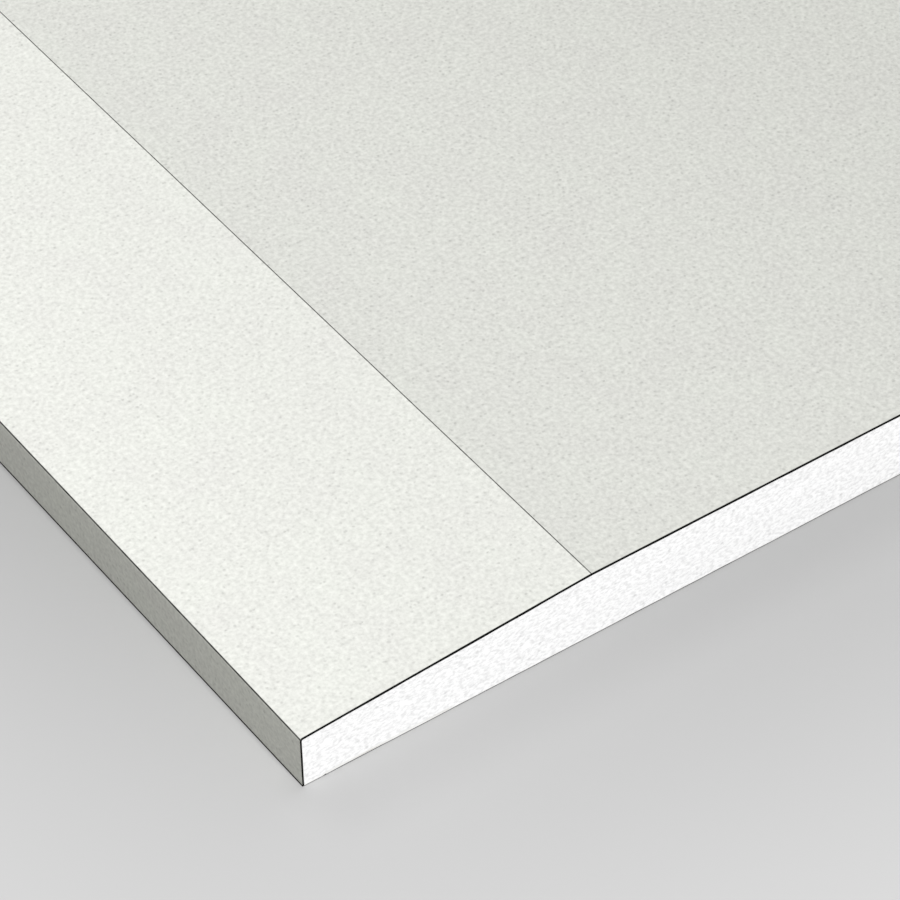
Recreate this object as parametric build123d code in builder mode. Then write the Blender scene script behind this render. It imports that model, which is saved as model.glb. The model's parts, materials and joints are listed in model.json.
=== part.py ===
from build123d import *
import os

# Drywall sheet with tapered long edges, lying flat with its face up.
# Lengths are millimetres. X runs along the sheet, Y across it and Z up, out of the face.
# The origin is the middle of the underside.

# Overall size
sheet_length = 2400.0
sheet_width = 1200.0
sheet_thickness = 12.5

# Tapered strip along each long edge, which leaves room for the joint filler and tape
taper_width = 50.0
taper_depth = 3.0

# Paper liners
face_paper_thickness = 0.35
back_paper_thickness = 0.3
core_edge_radius = 0.1  # of the gypsum inside each fold of the face paper
flap_width = 25.0  # part of the face paper that is folded under, onto the back
back_paper_inset = 4.0  # from each long edge to the edge of the back paper
flap_step_width = 1.0  # over which a flap rises to lie on the back paper, just outside its edge
flap_lift = 0.05  # of the bare strip of a flap above the plane that the sheet lies on

# Heights and places that follow from the sizes above
half_width = sheet_width / 2
long_edge_height = sheet_thickness - taper_depth
crease_place = half_width - taper_width
flap_tip_place = half_width - flap_width
back_paper_edge = half_width - back_paper_inset
fold_radius = core_edge_radius + face_paper_thickness

# Outer line of the face paper in the cross-section: from the tip of a flap along the back paper, down
# beside that paper's edge, round the long edge and up the taper to the crease. The other side is its
# mirror image.
half_wrap = [
    (flap_tip_place, back_paper_thickness),
    (back_paper_edge, back_paper_thickness),
    (back_paper_edge + flap_step_width, flap_lift),
    (half_width, flap_lift),
    (half_width, long_edge_height),
    (crease_place, sheet_thickness),
]
wrap = [(-across, up) for across, up in half_wrap] + half_wrap[::-1]

# The paper is folded round at the long edges, and only creased, with no radius, at the step of each
# flap and at the tapers.
half_wrap_radii = [0, 0, fold_radius, fold_radius, 0]
wrap_radii = half_wrap_radii + half_wrap_radii[::-1]

# Section of the face paper: a strip of one thickness that lies inside the outer line
with BuildSketch(Plane.YZ) as face_paper_section:
    with BuildLine():
        outer_line = FilletPolyline(*wrap, radius=wrap_radii)
        offset(outer_line, amount=face_paper_thickness, side=Side.RIGHT, closed=True)
    make_face()

# Section of the core: all that the outer line encloses, less the paper. The flaps are pressed into
# the core's back, so that the back paper lies flat.
with BuildSketch(Plane.YZ) as core_section:
    with BuildLine():
        enclosing_line = FilletPolyline(*wrap, radius=wrap_radii)
        Line(enclosing_line @ 1, enclosing_line @ 0)
    make_face()
    add(face_paper_section.sketch_local, mode=Mode.SUBTRACT)

# Both run the whole length of the sheet, and the saw or knife cut leaves their ends open to view.
with BuildPart() as face_paper:
    extrude(face_paper_section.sketch, amount=sheet_length / 2, both=True)

with BuildPart() as gypsum_core:
    extrude(core_section.sketch, amount=sheet_length / 2, both=True)

# The back paper is flat. It covers the core's back and most of both flaps.
with BuildPart() as back_paper:
    with BuildSketch():
        Rectangle(sheet_length, 2 * back_paper_edge)
    extrude(amount=back_paper_thickness)

face_paper.part.label = "face_paper"
gypsum_core.part.label = "gypsum_core"
back_paper.part.label = "back_paper"

os.makedirs("parts", exist_ok=True)
export_step(face_paper.part, "parts/face_paper.step")
export_step(gypsum_core.part, "parts/gypsum_core.step")
export_step(back_paper.part, "parts/back_paper.step")
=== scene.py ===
import json
import math

import bpy
import numpy as np
from mathutils import Matrix, Vector


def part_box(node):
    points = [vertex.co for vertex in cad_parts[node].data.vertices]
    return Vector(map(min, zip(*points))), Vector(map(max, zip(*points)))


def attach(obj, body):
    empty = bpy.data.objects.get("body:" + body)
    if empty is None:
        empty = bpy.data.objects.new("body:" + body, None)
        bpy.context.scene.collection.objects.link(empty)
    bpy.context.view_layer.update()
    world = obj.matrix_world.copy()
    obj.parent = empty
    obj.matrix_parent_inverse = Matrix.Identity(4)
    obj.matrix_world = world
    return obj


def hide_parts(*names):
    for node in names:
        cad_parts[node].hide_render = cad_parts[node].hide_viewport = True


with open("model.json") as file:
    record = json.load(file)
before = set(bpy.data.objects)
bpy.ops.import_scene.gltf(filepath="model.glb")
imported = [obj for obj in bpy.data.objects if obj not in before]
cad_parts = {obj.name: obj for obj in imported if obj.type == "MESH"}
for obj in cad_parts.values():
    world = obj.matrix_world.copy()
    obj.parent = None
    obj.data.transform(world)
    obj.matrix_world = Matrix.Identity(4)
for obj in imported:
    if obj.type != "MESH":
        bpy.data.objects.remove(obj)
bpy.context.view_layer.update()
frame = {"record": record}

# Sizes of the sheet in metres, from the frame
core_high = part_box("gypsum_core")[1]
face_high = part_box("face_paper")[1]
back_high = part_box("back_paper")[1]
mounts = {mount["name"]: mount for mount in frame["record"]["mounts"]}
taper_middle = mounts["taper_right"]["pos_m"]

half_length = core_high[0]
half_width = face_high[1]
sheet_thickness = face_high[2]
face_paper_thickness = face_high[1] - core_high[1]
back_paper_thickness = back_high[2]
back_half_width = back_high[1]
taper_width = 2 * (half_width - taper_middle[1])
taper_depth = 2 * (sheet_thickness - taper_middle[2])

# Sizes that the frame doesn't hold
flap_width = 0.025  # part of the face paper that is folded under, onto the back
flap_step_width = 0.001  # over which a flap comes down beside the back paper's edge
step_radii = (0.0004, 0.0008)  # of the flap's bends at the top and the bottom of that step
flap_lift = 0.00001  # of the bare strip of a flap above the plane that the sheet lies on
low_fold_radius = 0.00036  # of the paper's outer side at the bottom of a long edge
core_edge_radius = 0.0001  # of the gypsum inside the fold at the top of a long edge
crease_radius = 0.003  # of the paper's outer side where the flat face meets a taper

# Fineness of the meshes
paper_spacing = 0.0008
arc_steps = 8
core_columns = 900
core_rows = 19

crease_place = half_width - taper_width
flap_tip = half_width - flap_width
fold_radius = core_edge_radius + face_paper_thickness


def colour(red, green, blue):
    """A display colour of 0 to 255 a channel, as the linear colour that a shader takes."""
    shares = [value / 255 for value in (red, green, blue)]
    return [s / 12.92 if s <= 0.04045 else ((s + 0.055) / 1.055) ** 2.4 for s in shares] + [1.0]


# Shapes


def blurred_noise(shape, grain, seed):
    """Seeded noise on a grid, blurred by a bell curve that is grain cells wide along each axis, by
    way of its Fourier transform, and scaled to a standard deviation of one."""
    rough = np.random.default_rng(seed).standard_normal(shape)
    waves = np.meshgrid(*[np.fft.fftfreq(n) * width for n, width in zip(shape, grain)], indexing="ij")
    bell = np.exp(-2 * np.pi**2 * sum(wave**2 for wave in waves))
    blurred = np.fft.ifftn(np.fft.fftn(rough) * bell).real
    return blurred / blurred.std()


def rounded_line(corners, radii, spacing):
    """Points, outward normals and distances along straight runs that tangent arcs join. The line goes
    clockwise, so outward is on its left. An arc of radius r at a corner that turns by t starts
    r tan(t / 2) before it, and its points are its centre plus r times the turning normal. Where the
    line turns the other way, r and t are both negative."""
    corners = np.array(corners)
    runs = np.diff(corners, axis=0)
    lengths = np.linalg.norm(runs, axis=1)
    ways = runs / lengths[:, None]
    headings = np.unwrap(np.arctan2(ways[:, 1], ways[:, 0]))
    turns = -np.diff(headings)
    radii = np.array(radii) * np.sign(turns)
    cuts = np.concatenate([[0.0], radii * np.tan(turns / 2), [0.0]])
    points, normals = [], []
    for index, way in enumerate(ways):
        outward = np.array([-way[1], way[0]])
        start = corners[index] + cuts[index] * way
        run = lengths[index] - cuts[index] - cuts[index + 1]
        steps = np.linspace(0, run, max(2, round(run / spacing) + 1))
        points.append(start + steps[:, None] * way)
        normals.append(np.repeat(outward[None], len(steps), axis=0))
        if index < len(radii):
            swept = turns[index] * np.arange(1, arc_steps) / arc_steps
            angles = headings[index] + math.pi / 2 - swept
            around = np.stack([np.cos(angles), np.sin(angles)], axis=1)
            centre = start + run * way - radii[index] * outward
            points.append(centre + radii[index] * around)
            normals.append(around)
    points = np.concatenate(points)
    distances = np.concatenate([[0.0], np.cumsum(np.linalg.norm(np.diff(points, axis=0), axis=1))])
    return points, np.concatenate(normals), distances - distances[-1] / 2


def quad_mesh(name, points, quads, smooth, finishes, finish_of=None, unrolled=None):
    """An object of four-cornered faces, made from whole arrays, with its finishes in its slots. The
    edges of the faces that aren't smooth are sharp."""
    mesh = bpy.data.meshes.new(name)
    mesh.vertices.add(len(points))
    mesh.vertices.foreach_set("co", points.astype(np.float32).ravel())
    mesh.loops.add(quads.size)
    mesh.loops.foreach_set("vertex_index", quads.astype(np.int32).ravel())
    mesh.polygons.add(len(quads))
    mesh.polygons.foreach_set("loop_start", np.arange(0, quads.size, 4, dtype=np.int32))
    mesh.polygons.foreach_set("use_smooth", smooth)
    if finish_of is not None:
        mesh.polygons.foreach_set("material_index", finish_of.astype(np.int32))
    mesh.update(calc_edges=True)
    edge_of = np.empty(quads.size, np.int32)
    mesh.loops.foreach_get("edge_index", edge_of)
    sharp = np.zeros(len(mesh.edges), bool)
    sharp[edge_of.reshape(-1, 4)[~smooth].ravel()] = True
    mesh.edges.foreach_set("use_edge_sharp", sharp)
    if unrolled is not None:
        layer = mesh.uv_layers.new(name="unrolled")
        layer.data.foreach_set("uv", unrolled[quads.ravel()].astype(np.float32).ravel())
    for finish in finishes:
        mesh.materials.append(finish)
    piece = bpy.data.objects.new(name, mesh)
    bpy.context.scene.collection.objects.link(piece)
    return piece


def paper_sheet(name, line, thickness, ragged_depth, seed, finishes):
    """One sheet of paper that runs the board's whole length. At each station along the board its outer
    side is the line, and its inner side is the line less the thickness times the outward normal.
    Both ends are set back by a ragged depth, which is blurred noise along the cut."""
    points, normals, distances = line
    count = len(points)
    loop = np.concatenate([points, (points - thickness * normals)[::-1]])
    across = np.concatenate([distances, distances[::-1]])

    cut_zone = 0.004  # at each end, over which the paper reaches its full length again
    fibre_blur = 1.5  # points round the cut
    stations = np.array([-half_length, cut_zone - half_length, half_length - cut_zone, half_length])
    along = np.repeat(stations[:, None], 2 * count, axis=1)
    fibres = blurred_noise((2, 2 * count), (0, fibre_blur), seed)
    ragged = ragged_depth * np.clip(0.5 + 0.25 * fibres, 0, 1)
    along[0] += ragged[0]
    along[-1] -= ragged[1]

    around = np.broadcast_to(loop, (len(stations), *loop.shape))
    vertices = np.concatenate([along[..., None], around], axis=2).reshape(-1, 3)
    unrolled = np.stack([along, np.broadcast_to(across, along.shape)], axis=2).reshape(-1, 2)

    index = np.arange(len(vertices)).reshape(len(stations), -1)
    following = np.roll(index, -1, axis=1)
    sides = np.stack([index[:-1], index[1:], following[1:], following[:-1]], axis=2)
    first = np.arange(count - 1)
    strip = np.stack([first, first + 1, 2 * count - 2 - first, 2 * count - 1 - first], axis=1)
    quads = np.concatenate([sides.reshape(-1, 4), index[0][strip], index[-1][strip][:, ::-1]])

    rim = np.zeros(sides.shape[:2], bool)
    rim[:, [count - 1, -1]] = True
    is_cut = np.concatenate([rim.ravel(), np.ones(2 * len(strip), bool)])
    return quad_mesh(name, vertices, quads, ~is_cut, finishes, is_cut, unrolled)


def plaster_core(name, line, thickness, seed, finishes):
    """The core as one closed solid between its two cut ends. At the place y across the board an end
    reaches from the lower inside of the paper to the upper, and its rows share that height evenly.
    Each point is set back by shallow blurred noise that is drawn out across the board, and by pits
    where a second noise passes a limit. Both noises are worked out at even places across the board,
    shared out between the two that a column lies between, and fade out at the papers."""
    points, normals, _ = line
    inside = points - thickness * normals
    half = inside[inside[:, 0] >= 0]
    side_place = half[:, 0].max()
    side = np.flatnonzero(half[:, 0] > side_place - 1e-7)
    upper, lower = half[: side[0] + 1], half[side[-1]:][::-1]

    rebate_step = 0.00002  # over which the core's back steps up onto the tip of a flap
    rounding = core_edge_radius * np.sin(np.linspace(0, math.pi / 2, arc_steps))
    flat_part = np.linspace(0, flap_tip, core_columns)
    flap_start = flap_tip + rebate_step
    rounding_start = side_place - core_edge_radius
    over_flap = (lower[:, 0] > flap_start) & (lower[:, 0] < rounding_start - rebate_step)
    flap_part = np.concatenate([[flap_start], lower[over_flap, 0]])
    half_columns = np.concatenate([flat_part, flap_part, rounding_start + rounding])
    columns = np.concatenate([-half_columns[:0:-1], half_columns])
    high = np.interp(np.abs(columns), upper[:, 0], upper[:, 1])
    low = np.interp(np.abs(columns), lower[:, 0], lower[:, 1])
    low[np.abs(columns) <= flap_tip] = back_paper_thickness

    even_shape = (2 * core_columns, core_rows)
    even_place = (columns / columns[-1] + 1) / 2 * (even_shape[0] - 1)
    before = np.minimum(even_place.astype(int), even_shape[0] - 2)
    part = (even_place - before)[:, None]

    torn_blur, torn_depth = (1.6, 0.6), 0.00003
    pit_blur, pit_limit, pit_depth = (0.7, 0.7), 1.8, 0.00025
    deepest = 0.0004
    fading_rows = 3

    share = np.linspace(0, 1, core_rows)
    up = low[:, None] + (high - low)[:, None] * share
    across = np.broadcast_to(columns[:, None], up.shape)
    inner = np.clip(np.minimum(share, 1 - share) * core_rows / fading_rows, 0, 1)
    ends = []
    for number, way in enumerate((1, -1)):
        torn = np.abs(blurred_noise(even_shape, torn_blur, seed + number))
        pitted = np.clip(blurred_noise(even_shape, pit_blur, seed + 10 + number) - pit_limit, 0, 1)
        depth = np.clip(torn_depth * torn + pit_depth * pitted, 0, deepest)
        set_back = inner * (depth[before] * (1 - part) + depth[before + 1] * part)
        ends.append(np.stack([way * (half_length - set_back), across, up], axis=2).reshape(-1, 3))

    grid = np.arange(up.size).reshape(up.shape)
    front = np.stack([grid[:-1, :-1], grid[1:, :-1], grid[1:, 1:], grid[:-1, 1:]], axis=2).reshape(-1, 4)
    rear = front[:, ::-1] + up.size
    rim = np.concatenate([grid[:-1, 0], grid[-1, :-1], grid[:0:-1, -1], grid[0, :0:-1]])
    after = np.roll(rim, -1)
    body = np.stack([rim, rim + up.size, after + up.size, after], axis=1)
    smooth = np.concatenate([np.ones(2 * len(front), bool), np.zeros(len(body), bool)])
    return quad_mesh(name, np.concatenate(ends), np.concatenate([front, rear, body]), smooth, finishes)


# Shader nodes


def add_node(tree, kind, inputs=None, **settings):
    """Adds a node, sets its properties, and gives each named input its value or its link."""
    made = tree.nodes.new(kind)
    for setting, value in settings.items():
        setattr(made, setting, value)
    for place, value in (inputs or {}).items():
        if isinstance(value, bpy.types.NodeSocket):
            tree.links.new(value, made.inputs[place])
        else:
            made.inputs[place].default_value = value
    return made


def maths(tree, operation, first, second=0.0, third=0.0):
    """One sum on up to three numbers, each a value or a link."""
    return add_node(tree, "ShaderNodeMath", {0: first, 1: second, 2: third}, operation=operation).outputs[0]


def spread(tree, value, low, high, to_low=0.0, to_high=1.0):
    """The value between low and high, eased in and out, as a share between two other values."""
    inputs = {"Value": value, "From Min": low, "From Max": high, "To Min": to_low, "To Max": to_high}
    return add_node(tree, "ShaderNodeMapRange", inputs, interpolation_type="SMOOTHSTEP").outputs[0]


def mixed(tree, share, first, second, blend="MIX"):
    """The first colour, with the second mixed in by a share."""
    inputs = {0: share, 6: first, 7: second}
    return add_node(tree, "ShaderNodeMix", inputs, data_type="RGBA", blend_type=blend).outputs[2]


def noise(tree, place, scale, detail=2.0, roughness=0.5, dimensions="3D"):
    """Soft noise round 0.5, with scale cells to the metre."""
    inputs = {"Vector": place, "Scale": scale, "Detail": detail, "Roughness": roughness}
    return add_node(tree, "ShaderNodeTexNoise", inputs, noise_dimensions=dimensions).outputs[0]


def stretched(tree, place, scale):
    """The place times a scale along each axis: below one draws a pattern out along it."""
    return add_node(tree, "ShaderNodeMapping", {"Vector": place, "Scale": scale}).outputs[0]


def new_group(name, inputs, outputs, output_kind="NodeSocketFloat"):
    """An empty node group with its input and output sockets, and the nodes that stand for them."""
    group = bpy.data.node_groups.new(name, "ShaderNodeTree")
    for socket, (kind, value) in inputs.items():
        made = group.interface.new_socket(socket, in_out="INPUT", socket_type=kind)
        if value is not None:
            made.default_value = value
    for socket in outputs:
        group.interface.new_socket(socket, in_out="OUTPUT", socket_type=output_kind)
    return group, group.nodes.new("NodeGroupInput").outputs, group.nodes.new("NodeGroupOutput").inputs


def paper_formation_group():
    """How the pulp lies in a sheet of paper: an even fine grain with faint softer flocks in it, round
    darker specks of several strengths, broad drifts of tone along the sheet, and the relief of its
    surface. Grain and drift are zero on average."""
    sockets = {
        "Place": ("NodeSocketVector", None),
        "Grain Scale": ("NodeSocketFloat", 1400.0),
        "Speck Scale": ("NodeSocketFloat", 1100.0),
    }
    group, given, result = new_group("paper formation", sockets, ("Grain", "Speck", "Drift", "Relief"))
    place, grain_scale = given["Place"], given["Grain Scale"]
    fine = noise(group, place, grain_scale, detail=2.0, roughness=0.55, dimensions="2D")
    flock_scale = maths(group, "MULTIPLY", grain_scale, 0.4)
    flocks = noise(group, place, flock_scale, detail=1.0, dimensions="2D")
    flock_strength = 0.2
    grain = maths(group, "SUBTRACT", fine, 0.5)
    grain = maths(group, "MULTIPLY_ADD", maths(group, "SUBTRACT", flocks, 0.5), flock_strength, grain)

    cells = {"Vector": place, "Scale": given["Speck Scale"]}
    spots = add_node(group, "ShaderNodeTexVoronoi", cells, voronoi_dimensions="2D").outputs
    chance = add_node(group, "ShaderNodeSeparateColor", {0: spots["Color"]}).outputs
    body = spread(group, spots["Distance"], 0.05, 0.4, 1.0, 0.0)
    speck = maths(group, "MULTIPLY", body, spread(group, chance[0], 0.6, 1.0))

    drift_place = stretched(group, place, (0.7, 1.0, 1.0))
    broad = noise(group, drift_place, 130.0, detail=3.0, dimensions="2D")
    links = {
        "Grain": grain,
        "Speck": speck,
        "Drift": maths(group, "SUBTRACT", broad, 0.5),
        "Relief": maths(group, "MULTIPLY_ADD", speck, -0.3, grain),
    }
    for socket, source in links.items():
        group.links.new(source, result[socket])
    return group


def thin_line_group():
    """A thin line, from the distance to its middle and its width, with places where it is fainter."""
    sockets = {
        "Distance": ("NodeSocketFloat", 0.0),
        "Width": ("NodeSocketFloat", 0.0002),
        "Along": ("NodeSocketFloat", 0.0),
    }
    group, given, result = new_group("thin line", sockets, ("Line",))
    away = maths(group, "ABSOLUTE", given["Distance"])
    inner = maths(group, "MULTIPLY", given["Width"], 0.4)
    outer = maths(group, "MULTIPLY", given["Width"], 0.6)
    body = spread(group, away, inner, outer, 1.0, 0.0)
    places = add_node(group, "ShaderNodeCombineXYZ", {"X": given["Along"]}).outputs[0]
    faint = spread(group, noise(group, places, 300.0), 0.3, 0.7, 0.85, 1.0)
    group.links.new(maths(group, "MULTIPLY", body, faint), result["Line"])
    return group


def cut_edge_group(dark_above):
    """The colour of a sheet of paper's edge where it is cut, from its place. Above a height, and in the
    outer plies all the way down at the long edges, it is near black with lighter torn fibres.
    Elsewhere it is pale, with a thin near-black line of painted contact shade along the bottom, where the
    sheet meets the floor."""
    sockets = {"Place": ("NodeSocketVector", None)}
    group, given, result = new_group("cut edge", sockets, ("Colour",), "NodeSocketColor")
    split = add_node(group, "ShaderNodeSeparateXYZ", {0: given["Place"]}).outputs
    fibres = spread(group, noise(group, given["Place"], 1500.0, detail=2.0), 0.5, 0.75)
    dark = mixed(group, fibres, colour(3, 3, 3), colour(16, 16, 15))

    # Painted shade: the bottom 0.1 mm of a cut edge is near black, as contact shade where the sheet meets
    # the floor.
    contact_shade_height, contact_shade_blur = 0.0001, 0.00002
    above_contact_shade = spread(group, split["Z"], contact_shade_height - contact_shade_blur, contact_shade_height + contact_shade_blur)
    pale = mixed(group, above_contact_shade, colour(20, 20, 20), colour(238, 238, 236))

    fold_start = half_width - face_paper_thickness
    from_middle = maths(group, "ABSOLUTE", split["Y"])
    in_fold = spread(group, from_middle, fold_start + 0.00001, fold_start + 0.00007)
    high = spread(group, split["Z"], dark_above, dark_above + 0.0001)
    edge = mixed(group, maths(group, "MAXIMUM", in_fold, high), pale, dark)
    group.links.new(edge, result["Colour"])
    return group


def place_group(tree, group, **inputs):
    """A node that uses the group, with its inputs named by their sockets, spaces as underscores."""
    named = {socket.replace("_", " "): value for socket, value in inputs.items()}
    return add_node(tree, "ShaderNodeGroup", named, node_tree=group).outputs


# Finishes


def new_finish(name, roughness, specular):
    """A material with its node tree and shader."""
    material = bpy.data.materials.new(name)
    material.use_nodes = True
    shader = material.node_tree.nodes["Principled BSDF"]
    shader.inputs["Roughness"].default_value = roughness
    shader.inputs["Specular IOR Level"].default_value = specular
    return material, material.node_tree, shader


def add_bump(tree, shader, height, distance):
    """Relief from a height between about 0 and 1, which is that share of a distance in metres."""
    bump = add_node(tree, "ShaderNodeBump", {"Height": height, "Distance": distance, "Strength": 1.0})
    tree.links.new(bump.outputs[0], shader.inputs["Normal"])


def drawn_line(tree, thin_line, from_middle, along, place, width):
    """A thin line that runs along the board at a distance from the middle of the unrolled paper."""
    distance = maths(tree, "SUBTRACT", from_middle, place)
    return place_group(tree, thin_line, Distance=distance, Width=width, Along=along)["Line"]


def face_paper_finish(formation, thin_line, arris_place, low_fold_painted_shade_place):
    """Light ivory-grey paper with a fine grain and small specks. Painted light makes it lighter on the two
    tapers, and on both sides of each crease it lightens slowly towards the long edge, also as painted
    light. A thin grey line runs along each crease, a dark one along the folded arris at the top of each
    long edge, a near-black band of painted shade along the bottom fold, where the long edge meets the
    floor, and a dark burr along the cut ends of the face."""
    material, tree, shader = new_finish("face paper", roughness=0.85, specular=0.2)
    plane = add_node(tree, "ShaderNodeUVMap", uv_map="unrolled").outputs[0]
    split = add_node(tree, "ShaderNodeSeparateXYZ", {0: plane}).outputs
    along = split["X"]
    from_middle = maths(tree, "ABSOLUTE", split["Y"])
    pulp = place_group(tree, formation, Place=plane, Grain_Scale=1400.0, Speck_Scale=1100.0)

    soft = 0.0003
    # Painted light: the flat face lightens over a band towards each crease, and each taper is painted
    # lighter again, and lighter still towards the arris, as if lit more.
    light_band = 0.12
    painted_light_by_crease = spread(tree, from_middle, crease_place - light_band, crease_place)
    flat_ground = mixed(tree, painted_light_by_crease, colour(213, 214, 208), colour(224, 225, 219))
    painted_light_by_arris = spread(tree, from_middle, crease_place, half_width)
    taper_ground = mixed(tree, painted_light_by_arris, colour(235, 236, 230), colour(241, 242, 236))
    on_taper = spread(tree, from_middle, crease_place - soft, crease_place + soft)
    past_arris = spread(tree, from_middle, arris_place - soft / 2, arris_place + soft / 2)
    ground = mixed(tree, on_taper, flat_ground, taper_ground)
    ground = mixed(tree, past_arris, ground, colour(209, 210, 202))

    pattern = maths(tree, "MULTIPLY", pulp["Grain"], 0.42)
    pattern = maths(tree, "MULTIPLY_ADD", pulp["Speck"], -0.17, pattern)
    calmer_on_taper = maths(tree, "MULTIPLY_ADD", on_taper, -0.07, 1.0)
    tone = maths(tree, "MULTIPLY_ADD", pattern, calmer_on_taper, 1.0)
    tone = maths(tree, "MULTIPLY_ADD", pulp["Drift"], 0.05, tone)
    tint = maths(tree, "MULTIPLY_ADD", pulp["Drift"], 0.02, tone)
    grey = add_node(tree, "ShaderNodeCombineColor", {0: tone, 1: tint, 2: tone}).outputs[0]
    sheet = mixed(tree, 1.0, ground, grey, "MULTIPLY")

    crease_width, arris_width, low_fold_painted_shade_width = 0.00018, 0.00024, 0.0004
    crease = drawn_line(tree, thin_line, from_middle, along, crease_place, crease_width)
    arris = drawn_line(tree, thin_line, from_middle, along, arris_place, arris_width)
    low_fold_painted_shade = drawn_line(tree, thin_line, from_middle, along, low_fold_painted_shade_place, low_fold_painted_shade_width)
    sheet = mixed(tree, maths(tree, "MULTIPLY", crease, 0.95), sheet, colour(25, 25, 24))
    # The dark line along the top arris is a mark; the band along the bottom fold, where the long edge meets
    # the floor, is painted shade.
    sheet = mixed(tree, maths(tree, "MAXIMUM", arris, low_fold_painted_shade), sheet, colour(8, 8, 8))

    burr_width, burr_blur = 0.00012, 0.00006
    from_end = maths(tree, "SUBTRACT", half_length, maths(tree, "ABSOLUTE", along))
    burr = spread(tree, from_end, burr_width, burr_width + burr_blur, 1.0, 0.0)
    on_face = spread(tree, from_middle, arris_place - soft, arris_place, 1.0, 0.0)
    sheet = mixed(tree, maths(tree, "MULTIPLY", burr, on_face), sheet, colour(4, 4, 4))
    tree.links.new(sheet, shader.inputs["Base Color"])
    add_bump(tree, shader, pulp["Relief"], 0.00003)
    return material


def back_paper_finish(formation):
    """Grey-brown recycled paper with a coarser grain."""
    material, tree, shader = new_finish("back paper", roughness=0.9, specular=0.2)
    plane = add_node(tree, "ShaderNodeUVMap", uv_map="unrolled").outputs[0]
    pulp = place_group(tree, formation, Place=plane, Grain_Scale=900.0, Speck_Scale=700.0)
    grain = spread(tree, pulp["Grain"], -0.2, 0.2)
    ground = mixed(tree, grain, colour(158, 152, 141), colour(182, 177, 165))
    ground = mixed(tree, maths(tree, "MULTIPLY", pulp["Speck"], 0.6), ground, colour(96, 88, 78))
    drifts = spread(tree, pulp["Drift"], -0.2, 0.2, 0.0, 0.25)
    ground = mixed(tree, drifts, ground, colour(190, 187, 178))
    tree.links.new(ground, shader.inputs["Base Color"])
    add_bump(tree, shader, pulp["Relief"], 0.00005)
    return material


def cut_paper_finish(name, cut_edge):
    """The rough edge of a sheet of paper where it is cut."""
    material, tree, shader = new_finish(name, roughness=0.95, specular=0.1)
    place = add_node(tree, "ShaderNodeTexCoord").outputs["Object"]
    paint = place_group(tree, cut_edge, Place=place)["Colour"]
    tree.links.new(paint, shader.inputs["Base Color"])
    return material


def plaster_finish():
    """White set plaster as it is cut: short faint grey dashes across the board, fine grains and a few
    small darker air holes."""
    material, tree, shader = new_finish("set plaster", roughness=0.95, specular=0.1)
    place = add_node(tree, "ShaderNodeTexCoord").outputs["Object"]
    drawn_out = stretched(tree, place, (1.0, 0.52, 1.0))
    dashes = noise(tree, drawn_out, 2150.0, detail=2.0, roughness=0.6)
    holes = add_node(tree, "ShaderNodeTexVoronoi", {"Vector": place, "Scale": 900.0}).outputs
    chance = add_node(tree, "ShaderNodeSeparateColor", {0: holes["Color"]}).outputs
    body = spread(tree, holes["Distance"], 0.1, 0.35, 1.0, 0.0)
    hole = maths(tree, "MULTIPLY", body, spread(tree, chance[0], 0.75, 1.0))
    ground = mixed(tree, spread(tree, dashes, 0.32, 0.62), colour(232, 232, 232), colour(253, 253, 253))
    ground = mixed(tree, maths(tree, "MULTIPLY", hole, 0.3), ground, colour(180, 180, 180))
    tree.links.new(ground, shader.inputs["Base Color"])
    height = maths(tree, "MULTIPLY_ADD", hole, -0.5, dashes)
    add_bump(tree, shader, height, 0.00005)
    return material


# The sheet


half_wrap = [
    (flap_tip, back_paper_thickness),
    (back_half_width, back_paper_thickness),
    (back_half_width + flap_step_width, flap_lift),
    (half_width, flap_lift),
    (half_width, sheet_thickness - taper_depth),
    (crease_place, sheet_thickness),
]
wrap = [(-across, up) for across, up in half_wrap] + half_wrap[::-1]
wrap_radii = [*step_radii, low_fold_radius, fold_radius, crease_radius]
wrap_line = rounded_line(wrap, wrap_radii + wrap_radii[::-1], paper_spacing)
back_line = rounded_line([(back_half_width, 0.0), (-back_half_width, 0.0)], [], paper_spacing)


def place_at_turn(turn):
    """The distance from the middle of the unrolled paper at which it faces down by this angle from
    straight up, between the crease and the bottom of the long edge on the side of +Y."""
    points, normals, distances = wrap_line
    outside = (distances > 0) & (normals[:, 0] > 1e-6)
    turned = np.arctan2(normals[outside, 0], normals[outside, 1])
    return float(np.interp(turn, turned, distances[outside]))


formation = paper_formation_group()
thin_line = thin_line_group()
arris_place = place_at_turn(math.radians(50))
# Where the band of painted shade runs on the bottom fold of each long edge.
low_fold_painted_shade_place = place_at_turn(math.radians(118))
below_fold = 0.0005
cut_edge = cut_edge_group(dark_above=sheet_thickness - taper_depth - below_fold)
face_finishes = [
    face_paper_finish(formation, thin_line, arris_place, low_fold_painted_shade_place),
    cut_paper_finish("cut edge of the face paper", cut_edge),
]
back_finishes = [
    back_paper_finish(formation),
    cut_paper_finish("cut edge of the back paper", cut_edge),
]
face_paper = paper_sheet(
    "folded_face_paper", wrap_line, face_paper_thickness,
    ragged_depth=0.00006, seed=11, finishes=face_finishes,
)
back_paper = paper_sheet(
    "flat_back_paper", back_line, back_paper_thickness,
    ragged_depth=0.00008, seed=12, finishes=back_finishes,
)
core = plaster_core("plaster_core", wrap_line, face_paper_thickness, seed=21, finishes=[plaster_finish()])

for piece, node in ((face_paper, "face_paper"), (back_paper, "back_paper"), (core, "gypsum_core")):
    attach(piece, "root")
    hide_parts(node)


# Floor, light and camera


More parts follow.
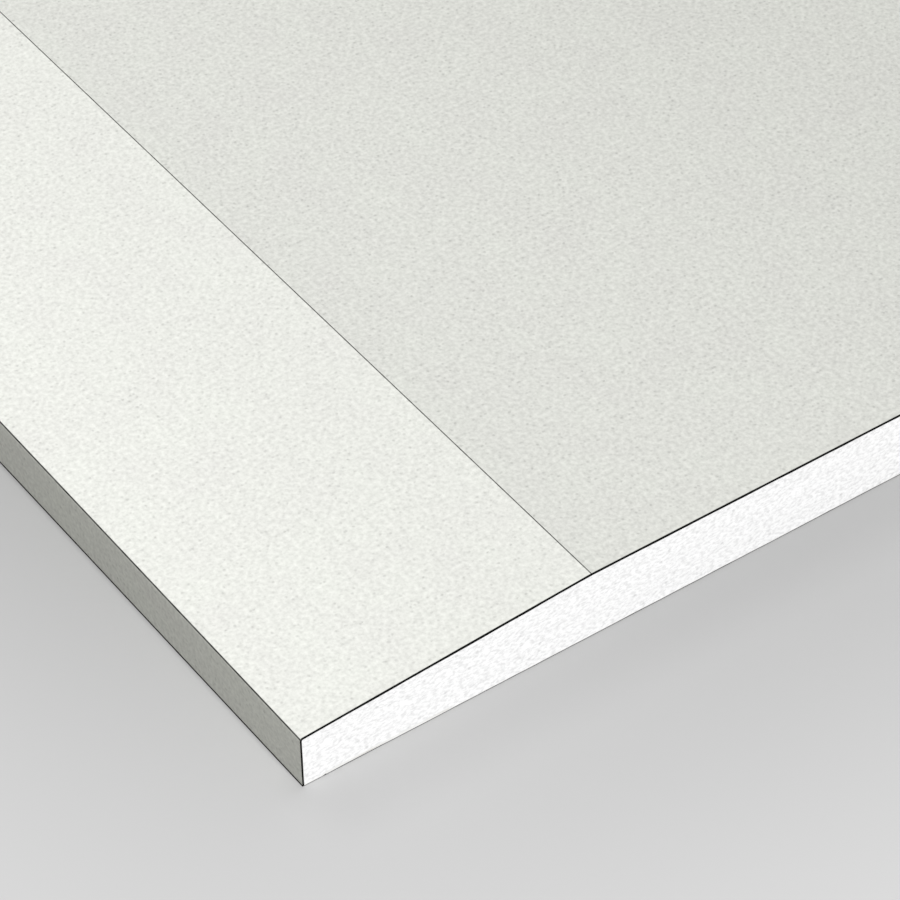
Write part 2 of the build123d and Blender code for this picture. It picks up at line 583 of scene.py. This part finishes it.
def floor():
    """A level pale grey floor just under the sheet, with a faint mottle. Its paint is darker close round
    the sheet as a painted soft shadow, by twice the product of two shares that fall across the sheet's
    ends and across its long edges. Painted shade makes it a little darker still at the foot of the white
    cut ends, to cancel the light that they throw on it, and it is painted black under the sheet, as
    painted shade in the gap under each long edge's bottom fold."""
    reach, drop = 60.0, 0.00002
    corners = [(-reach, -reach), (reach, -reach), (reach, reach), (-reach, reach)]
    mesh = bpy.data.meshes.new("floor")
    mesh.from_pydata([(x, y, -drop) for x, y in corners], [], [(0, 1, 2, 3)])
    material, tree, shader = new_finish("floor paint", roughness=0.9, specular=0.0)
    place = add_node(tree, "ShaderNodeTexCoord").outputs["Object"]
    split = add_node(tree, "ShaderNodeSeparateXYZ", {0: place}).outputs
    along = maths(tree, "ABSOLUTE", split["X"])
    across = maths(tree, "ABSOLUTE", split["Y"])

    # Painted shadow: the paint darkens towards this grey close round the sheet's outline.
    fade = 0.1  # to each side of the sheet's outline
    by_length = spread(tree, along, half_length - fade, half_length + fade, 1.0, 0.0)
    by_width = spread(tree, across, half_width - fade, half_width + fade, 1.0, 0.0)
    painted_shadow_share = maths(tree, "MULTIPLY", maths(tree, "MULTIPLY", by_length, by_width), 2.0)
    mottled = mixed(tree, noise(tree, place, 3.0), colour(222, 222, 222), colour(225, 225, 225))
    paint = mixed(tree, painted_shadow_share, mottled, colour(185, 185, 185))

    # Painted shade: a little darker at the foot of each white cut end, to cancel the light that the end
    # throws on the floor.
    foot_width, foot_share, soft = 0.016, 0.146, 0.005
    beyond_end = spread(tree, along, half_length - soft, half_length)
    near_end = spread(tree, along, half_length, half_length + foot_width, 1.0, 0.0)
    beside_core = spread(tree, across, half_width - soft, half_width + soft, 1.0, 0.0)
    painted_foot_shade = maths(tree, "MULTIPLY", maths(tree, "MULTIPLY", beyond_end, near_end), beside_core)
    paint = mixed(tree, maths(tree, "MULTIPLY", painted_foot_shade, foot_share), paint, colour(0, 0, 0))

    # Painted shade: black under the sheet, so the gap under each long edge's bottom fold looks dark.
    blur = 0.00004
    within_length = spread(tree, along, half_length - 2 * blur, half_length - blur, 1.0, 0.0)
    within_width = spread(tree, across, half_width - blur, half_width, 1.0, 0.0)
    painted_shade_under = maths(tree, "MULTIPLY", within_length, within_width)
    paint = mixed(tree, painted_shade_under, paint, colour(0, 0, 0))
    tree.links.new(paint, shader.inputs["Base Color"])
    mesh.materials.append(material)
    made = bpy.data.objects.new("floor", mesh)
    bpy.context.scene.collection.objects.link(made)


def studio_light():
    """An even sky and one broad far light from above and in front of the cut end. The camera sees a
    pale backdrop in place of the sky."""
    world = bpy.data.worlds.new("studio")
    bpy.context.scene.world = world
    world.use_nodes = True
    tree = world.node_tree
    tree.nodes.clear()
    seen = add_node(tree, "ShaderNodeLightPath").outputs
    backdrop = maths(tree, "MAXIMUM", seen["Is Camera Ray"], seen["Is Glossy Ray"])
    backdrop = maths(tree, "MAXIMUM", backdrop, seen["Is Transmission Ray"])
    sky_level = 0.3
    sky = mixed(tree, backdrop, (sky_level, sky_level, sky_level, 1.0), colour(223, 223, 223))
    background = add_node(tree, "ShaderNodeBackground", {"Color": sky, "Strength": 1.0})
    out = add_node(tree, "ShaderNodeOutputWorld")
    tree.links.new(background.outputs[0], out.inputs[0])

    far = bpy.data.lights.new("far light", "SUN")
    far.energy = 2.861
    far.angle = math.radians(15)
    far_light = bpy.data.objects.new("far light", far)
    far_light.rotation_mode = "QUATERNION"
    towards_light = Vector((0.637, -0.060, 0.769))
    far_light.rotation_quaternion = towards_light.to_track_quat("Z", "Y")
    bpy.context.scene.collection.objects.link(far_light)


def corner_camera():
    """A camera close above the near corner. It looks along its heading, which is turned from +X about
    +Z, and down, and is rolled a little about its own axis."""
    heading, down, roll = (math.radians(angle) for angle in (145.7998, 42.8868, -1.4250))
    place = (1.556994, -0.816408, 0.450530)
    focal_pixels, frame_pixels, sensor = 4397.31, 900, 36.0
    level_way = Vector((math.cos(heading), math.sin(heading), 0.0))
    forward = level_way * math.cos(down) - Vector((0.0, 0.0, math.sin(down)))
    right = Vector((math.sin(heading), -math.cos(heading), 0.0))
    above = right.cross(forward)
    turned_right = right * math.cos(roll) + above * math.sin(roll)
    turned_above = above * math.cos(roll) - right * math.sin(roll)
    data = bpy.data.cameras.new("corner camera")
    data.sensor_width = sensor
    data.lens = focal_pixels / frame_pixels * sensor
    data.clip_start, data.clip_end = 0.01, 200.0
    camera = bpy.data.objects.new("corner camera", data)
    axes = Matrix((turned_right, turned_above, -forward)).transposed().to_4x4()
    camera.matrix_world = Matrix.Translation(place) @ axes
    bpy.context.scene.collection.objects.link(camera)
    bpy.context.scene.camera = camera


floor()
studio_light()
corner_camera()
bpy.context.scene.view_settings.view_transform = "Standard"
